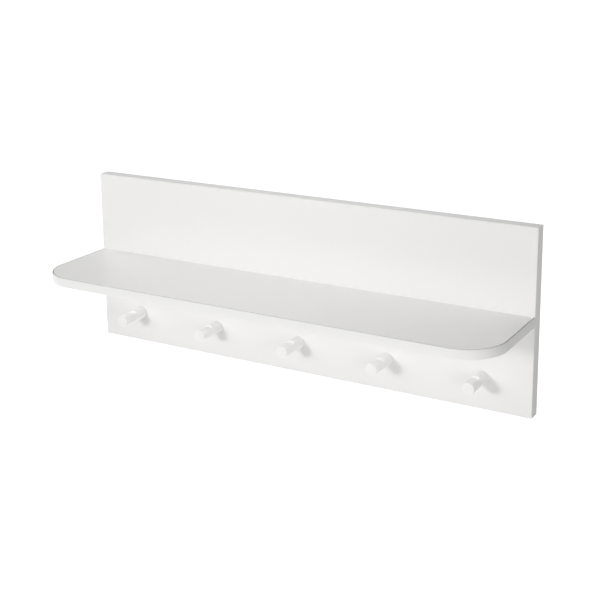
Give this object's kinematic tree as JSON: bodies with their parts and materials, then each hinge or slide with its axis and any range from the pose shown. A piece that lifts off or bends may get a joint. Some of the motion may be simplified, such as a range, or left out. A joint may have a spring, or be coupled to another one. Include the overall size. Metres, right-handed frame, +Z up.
{
  "type": "wall hook rack",
  "caption": "Wall-hung rack: upright back panel, shelf with rounded front corners across it, and a row of pegs with a saddle in the top of each below the shelf.",
  "frame": {"origin": "centre of the rear face, which lies against the wall, midway between the ends and midway up the back panel", "axes": "+X along the rack, to the right seen from the front; +Z up; the rear face looks along +Y and the rack stands out towards -Y"},
  "size_m": [0.8, 0.2, 0.295],
  "materials": {
    "white_board": "white melamine-faced board, fine satin pearl",
    "white_edge": "white plastic edge strip, satin",
    "white_peg": "turned wood with a milled saddle, white satin lacquer",
    "zinc_plate": "zinc-plated pressed steel",
    "screw_steel": "zinc-plated screw steel",
    "beech": "plain fluted beech"
  },
  "bodies": {
    "root": {"back_panel": "white_board", "shelf_board": "white_board", "panel_band_top": "white_edge", "panel_band_bottom": "white_edge", "panel_band_left": "white_edge", "panel_band_right": "white_edge", "shelf_band": "white_edge", "peg_1": "white_peg", "peg_2": "white_peg", "peg_3": "white_peg", "peg_4": "white_peg", "peg_5": "white_peg", "peg_screws": "screw_steel", "shelf_screws": "screw_steel", "hanger_screws": "screw_steel", "shelf_dowels": "beech", "hanger_plate_left": "zinc_plate", "hanger_plate_right": "zinc_plate"}
  },
  "joints": []
}
